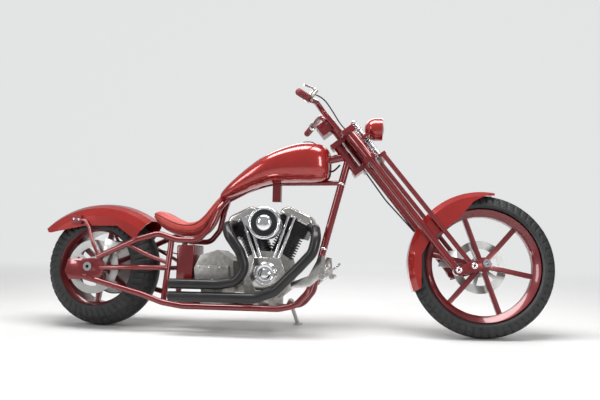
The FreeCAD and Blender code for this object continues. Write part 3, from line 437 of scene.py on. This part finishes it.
def air_cleaner_face():
    centre = Vector((0.980, -0.212, 0.568))
    out = (0, -1, 0)
    rim = [(-0.012, 0.070), (0.001, 0.072), (0.004, 0.078), (0.002, 0.084), (-0.004, 0.086)]
    lathe_set("air_cleaner_rim", BIKE, [(centre, out, rim)], CHROME, "chassis", 72)
    dark = [(0.0004, 0.070), (0.0015, 0.062), (0.0015, 0.040), (0.0004, 0.0001)]
    lathe_set("air_cleaner_disc", BIKE, [(centre, out, dark)], BLACK, "chassis", 72)
    dome = [(0.0, 0.044), (0.008, 0.042), (0.016, 0.034), (0.021, 0.020), (0.023, 0.0001)]
    lathe_set("air_cleaner_dome", BIKE, [(centre, out, dome)], CHROME, "chassis", 72)


def cam_cover_face():
    centre = Vector((0.971, -0.124, 0.304))
    out = (0, -1, 0)
    ring = [(0, 0.058), (0.004, 0.056), (0.006, 0.048), (0.002, 0.042), (0.002, 0.030), (0.008, 0.026),
            (0.011, 0.016), (0.012, 0.0001)]
    shapes = [(centre, out, ring)]
    for index in range(6):
        angle = math.pi * index / 3 + 0.3
        spot = centre + Vector((0.050 * math.cos(angle), 0.0, 0.050 * math.sin(angle)))
        shapes.append((spot, out, bolt_profile(0.0045, 0.006)))
    lathe_set("cam_cover_face", BIKE, shapes, CHROME, "chassis", 32)


def on_cylinder(angle, along, across, y):
    up = Vector((math.sin(angle), 0, math.cos(angle)))
    side = Vector((math.cos(angle), 0, -math.sin(angle)))
    return CRANK + up * along + side * across + Vector((0, y, 0))


def engine_bolts():
    shapes = []
    for angle in (CYLINDER_ANGLE, -CYLINDER_ANGLE):
        for across in (-0.075, -0.028, 0.028, 0.075):
            shapes.append((on_cylinder(angle, 0.346, across, -0.0622), (0, -1, 0), bolt_profile(0.007, 0.007)))
            shapes.append((on_cylinder(angle, 0.346, across, 0.0622), (0, 1, 0), bolt_profile(0.007, 0.007)))
    for x, z in ((0.60, 0.335), (0.66, 0.335), (0.72, 0.335), (0.76, 0.335), (0.60, 0.267), (0.68, 0.267),
                 (0.76, 0.267)):
        shapes.append(((x, -0.1122, z), (0, -1, 0), bolt_profile(0.006, 0.006)))
    for turn in range(7):
        angle = math.pi * (0.5 - turn / 6)
        shapes.append(((0.975 + 0.092 * math.cos(angle), 0.2062, 0.300 + 0.092 * math.sin(angle)), (0, 1, 0),
                       bolt_profile(0.006, 0.005)))
        shapes.append(((0.690 - 0.098 * math.cos(angle), 0.2062, 0.300 + 0.098 * math.sin(angle)), (0, 1, 0),
                       bolt_profile(0.006, 0.005)))
    lathe_set("engine_bolts", BIKE, shapes, CHROME, "chassis", 12)


def head_fins():
    """Flat fins round each cylinder head."""
    points, faces = [], []
    for angle in (CYLINDER_ANGLE, -CYLINDER_ANGLE):
        for level in range(5):
            low = 0.268 + level * 0.012
            corners = [(-0.093, -0.075), (0.093, -0.075), (0.093, 0.075), (-0.093, 0.075)]
            base = len(points)
            for along in (low, low + 0.004):
                points += [BIKE @ on_cylinder(angle, along, a, y) for a, y in corners]
            faces += [(base, base + 1, base + 2, base + 3), (base + 4, base + 5, base + 6, base + 7)]
            faces += [(base + k, base + (k + 1) % 4, base + 4 + (k + 1) % 4, base + 4 + k) for k in range(4)]
    mesh_piece("head_fins", points, faces, BLACK, "chassis", smooth=False)


def primary_ribs():
    routes = []
    for inset in (0.020, 0.034):
        route = []
        for turn in range(9):
            angle = math.pi * (0.5 - turn / 8)
            route.append((0.975 + (0.104 - inset) * math.cos(angle), 0.2065,
                          0.300 + (0.104 - inset) * math.sin(angle)))
        for turn in range(9):
            angle = math.pi * (1.5 - turn / 8)
            route.append((0.690 + (0.112 - inset) * math.cos(angle), 0.2065,
                          0.300 + (0.112 - inset) * math.sin(angle)))
        routes.append(route + [route[0]])
    curve_piece("primary_ribs", BIKE, routes, 0.003, POLISHED, "chassis")


# ---------------------------------------------------------------- fork dressing


def springs():
    """Coil springs on the two rods, below and above the perch."""
    routes = []
    for y in (-0.045, 0.045):
        for low, high, turns in ((-0.106, 0.010, 9), (0.030, 0.126, 7)):
            steps = turns * 12
            routes.append([(0.140 + 0.0145 * math.cos(2 * math.pi * k / 12),
                            y + 0.0145 * math.sin(2 * math.pi * k / 12),
                            low + (high - low) * k / steps) for k in range(steps + 1)])
    piece = curve_piece("coil_springs", FORK, routes, 0.0026, CHROME, "fork")
    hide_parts("fork_springs")
    caps = []
    for y in (-0.045, 0.045):
        for low, high in ((-0.106, 0.010), (0.030, 0.126)):
            sleeve = [(0, 0.0072), (0, 0.0096), (high - low, 0.0096), (high - low, 0.0072)]
            caps.append(((0.140, y, low), (0, 0, 1), sleeve))
        caps.append(((0.140, y, 0.128), (0, 0, 1), [(0, 0.0071), (0, 0.016), (0.006, 0.016), (0.008, 0.0071)]))
    lathe_set("spring_caps", FORK, caps, CHROME, "fork")


def grips():
    start, end = Vector((-0.004, 0.235, 0.326)), Vector((-0.042, 0.350, 0.345))
    along = (end - start).normalized()
    shapes = []
    for side in (-1, 1):
        inner = end - along * 0.105
        centre = Vector((inner.x, side * inner.y, inner.z))
        axis = Vector((along.x, side * along.y, along.z))
        profile = [(0, 0.0152), (0, 0.0185)]
        for ring in range(11):
            base = 0.004 + ring * 0.0094
            profile += [(base, 0.0188), (base + 0.006, 0.0188), (base + 0.007, 0.0166), (base + 0.0085, 0.0166)]
        profile += [(0.109, 0.0188), (0.1125, 0.016), (0.1128, 0.0001)]
        shapes.append((centre, axis, profile))
    piece = lathe_set("ribbed_grips", FORK, shapes, GRIP, "fork", 32)
    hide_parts("hand_grips")


def fork_pins():
    axle_n, axle_s = 0.2050, -0.8832
    shapes = []
    for side in (-1, 1):
        out = (0, side, 0)
        for n, s in ((axle_n - 0.132, axle_s + 0.056), (axle_n - 0.056, axle_s + 0.026)):
            shapes.append(((n, side * 0.1327, s), out, [(0, 0.016), (0.005, 0.016), (0.007, 0.0135),
                                                       (0.007, 0.007), (0.003, 0.006), (0.003, 0.0001)]))
    lathe_set("rocker_pins", FORK, shapes, CHROME, "fork", 32)


def headlamp_ring():
    head = Matrix.Rotation(math.radians(38), 4, "Y")
    matrix = FORK @ Matrix.Translation((0.222, 0, 0.034)) @ head
    ring = [(0.028, 0.0562), (0.036, 0.0575), (0.036, 0.0612), (0.030, 0.0615), (0.026, 0.0613)]
    lathe_set("headlamp_ring", matrix, [((0, 0, 0), (1, 0, 0), ring)], CHROME, "fork", 64)


def cables():
    hoses = [[(0.03, -0.225, 0.335), (0.075, -0.15, 0.32), (0.082, -0.085, 0.24), (0.07, -0.078, 0.15),
              (0.075, -0.085, 0.11)],
             [(0.03, 0.225, 0.335), (0.075, 0.15, 0.32), (0.082, 0.085, 0.24), (0.07, 0.078, 0.15),
              (0.075, 0.085, 0.11)]]
    curve_piece("control_cables", FORK, hoses, 0.0035, HOSE, "fork")
    wire = [[(1.345, 0.012, 0.905), (1.315, 0.016, 0.872), (1.290, 0.016, 0.868), (1.262, 0.012, 0.872),
             (1.235, 0.010, 0.878)]]
    curve_piece("wiring_loom", BIKE, wire, 0.005, HOSE, "chassis")


def frame_clips():
    """Bright clamp rings on the down tube, and bolts through the fender strut pads."""
    top, low = Vector((1.391, 0, 0.932)), Vector((1.251, 0, 0.400))
    along = (low - top).normalized()
    shapes = []
    for share in (0.24, 0.90):
        shapes.append((top + (low - top) * share, along,
                       [(0, 0.0202), (0, 0.0225), (0.012, 0.0225), (0.012, 0.0202)]))
    lathe_set("down_tube_clips", BIKE, shapes, CHROME, "chassis", 40)
    bolts = []
    for side in (-1, 1):
        for x in (-0.128, -0.098):
            bolts.append(((x, side * 0.1452, 0.586), (0, side, 0), bolt_profile(0.006, 0.004)))
    lathe_set("strut_bolts", BIKE, bolts, CHROME, "chassis", 16)


# ---------------------------------------------------------------- studio


def backdrop_glow():
    """The sweep lifts itself towards pale grey for the camera, and keeps the object's shadow."""
    tree = FLOOR.node_tree
    shader = tree.nodes["Principled BSDF"]
    out = tree.nodes["Material Output"]
    glow = tree.nodes.new("ShaderNodeEmission")
    glow.inputs["Color"].default_value = (0.80, 0.805, 0.81, 1)
    rays = tree.nodes.new("ShaderNodeLightPath")
    place = tree.nodes.new("ShaderNodeNewGeometry")
    split = tree.nodes.new("ShaderNodeSeparateXYZ")
    far = tree.nodes.new("ShaderNodeMapRange")
    far.inputs["From Min"].default_value = 0.4
    far.inputs["From Max"].default_value = 3.2
    far.inputs["To Max"].default_value = 0.94
    seen = tree.nodes.new("ShaderNodeMath")
    seen.operation = "MULTIPLY"
    blend = tree.nodes.new("ShaderNodeMixShader")
    tree.links.new(place.outputs["Position"], split.inputs["Vector"])
    tree.links.new(split.outputs["Y"], far.inputs["Value"])
    tree.links.new(far.outputs["Result"], seen.inputs[0])
    tree.links.new(rays.outputs["Is Camera Ray"], seen.inputs[1])
    tree.links.new(seen.outputs["Value"], blend.inputs["Fac"])
    tree.links.new(shader.outputs["BSDF"], blend.inputs[1])
    tree.links.new(glow.outputs["Emission"], blend.inputs[2])
    tree.links.new(blend.outputs["Shader"], out.inputs["Surface"])


def studio():
    points = []
    profile = [(-9.0, 0.0), (4.0, 0.0)]
    profile += [(4.0 + 2.5 * math.sin(a * math.pi / 24), 2.5 - 2.5 * math.cos(a * math.pi / 24))
                for a in range(1, 13)]
    profile += [(6.5, 9.0)]
    for x in (-14.0, 14.0):
        points += [Vector((x, y, z)) for y, z in profile]
    count = len(profile)
    data = bpy.data.meshes.new("studio_sweep")
    data.from_pydata([tuple(p) for p in points], [], grid_faces(2, count))
    sweep = bpy.data.objects.new("studio_sweep", data)
    bpy.context.scene.collection.objects.link(sweep)
    data.materials.append(FLOOR)
    backdrop_glow()
    for face in data.polygons:
        face.use_smooth = True


def soft_light(name, place, target, size, power):
    data = bpy.data.lights.new(name, "AREA")
    data.shape = "RECTANGLE"
    data.size, data.size_y = size
    data.energy = power
    lamp = bpy.data.objects.new(name, data)
    lamp.location = place
    lamp.rotation_euler = (Vector(target) - Vector(place)).to_track_quat("-Z", "Y").to_euler()
    bpy.context.scene.collection.objects.link(lamp)


def lights():
    soft_light("overhead", (0.0, -0.4, 3.4), (0, 0, 0.5), (3.6, 1.2), 150)
    soft_light("front_right", (3.6, -3.4, 1.9), (0.3, 0, 0.5), (0.8, 2.2), 60)
    soft_light("rear_right", (-3.4, -3.2, 2.3), (-0.3, 0, 0.5), (0.8, 2.0), 45)
    soft_light("behind", (0.0, 2.8, 2.8), (0, 0, 0.6), (3.6, 1.0), 40)
    world = bpy.data.worlds.new("studio_air")
    bpy.context.scene.world = world
    world.use_nodes = True
    world.node_tree.nodes["Background"].inputs["Color"].default_value = (0.86, 0.87, 0.88, 1)
    world.node_tree.nodes["Background"].inputs["Strength"].default_value = 0.42


def camera():
    rear, _ = joint("rear_wheel_turn")
    yaw = math.radians(10.5)
    data = bpy.data.cameras.new("studio_camera")
    data.lens = 38.8
    data.sensor_width = 36
    eye = bpy.data.objects.new("studio_camera", data)
    eye.location = (rear.x + 1.774, rear.y - 3.44, 0.707)
    eye.rotation_euler = (math.pi / 2, 0, yaw)
    bpy.context.scene.collection.objects.link(eye)
    bpy.context.scene.camera = eye


dress_frame()
soften_nodes()
tyre_piece("front_tyre_tread", "front_tyre", FRONT_WHEEL, FRONT_TYRE_R, FRONT_TYRE_HALF, FRONT_RIM_R,
           "front_wheel", 56)
tyre_piece("rear_tyre_tread", "rear_tyre", REAR_WHEEL, REAR_TYRE_R, REAR_TYRE_HALF, REAR_RIM_R,
           "rear_wheel", 46)
seat_piece()
air_cleaner_face()
cam_cover_face()
engine_bolts()
head_fins()
primary_ribs()
springs()
grips()
fork_pins()
headlamp_ring()
cables()
frame_clips()
studio()
lights()
camera()
bpy.context.scene.view_settings.view_transform = "Standard"
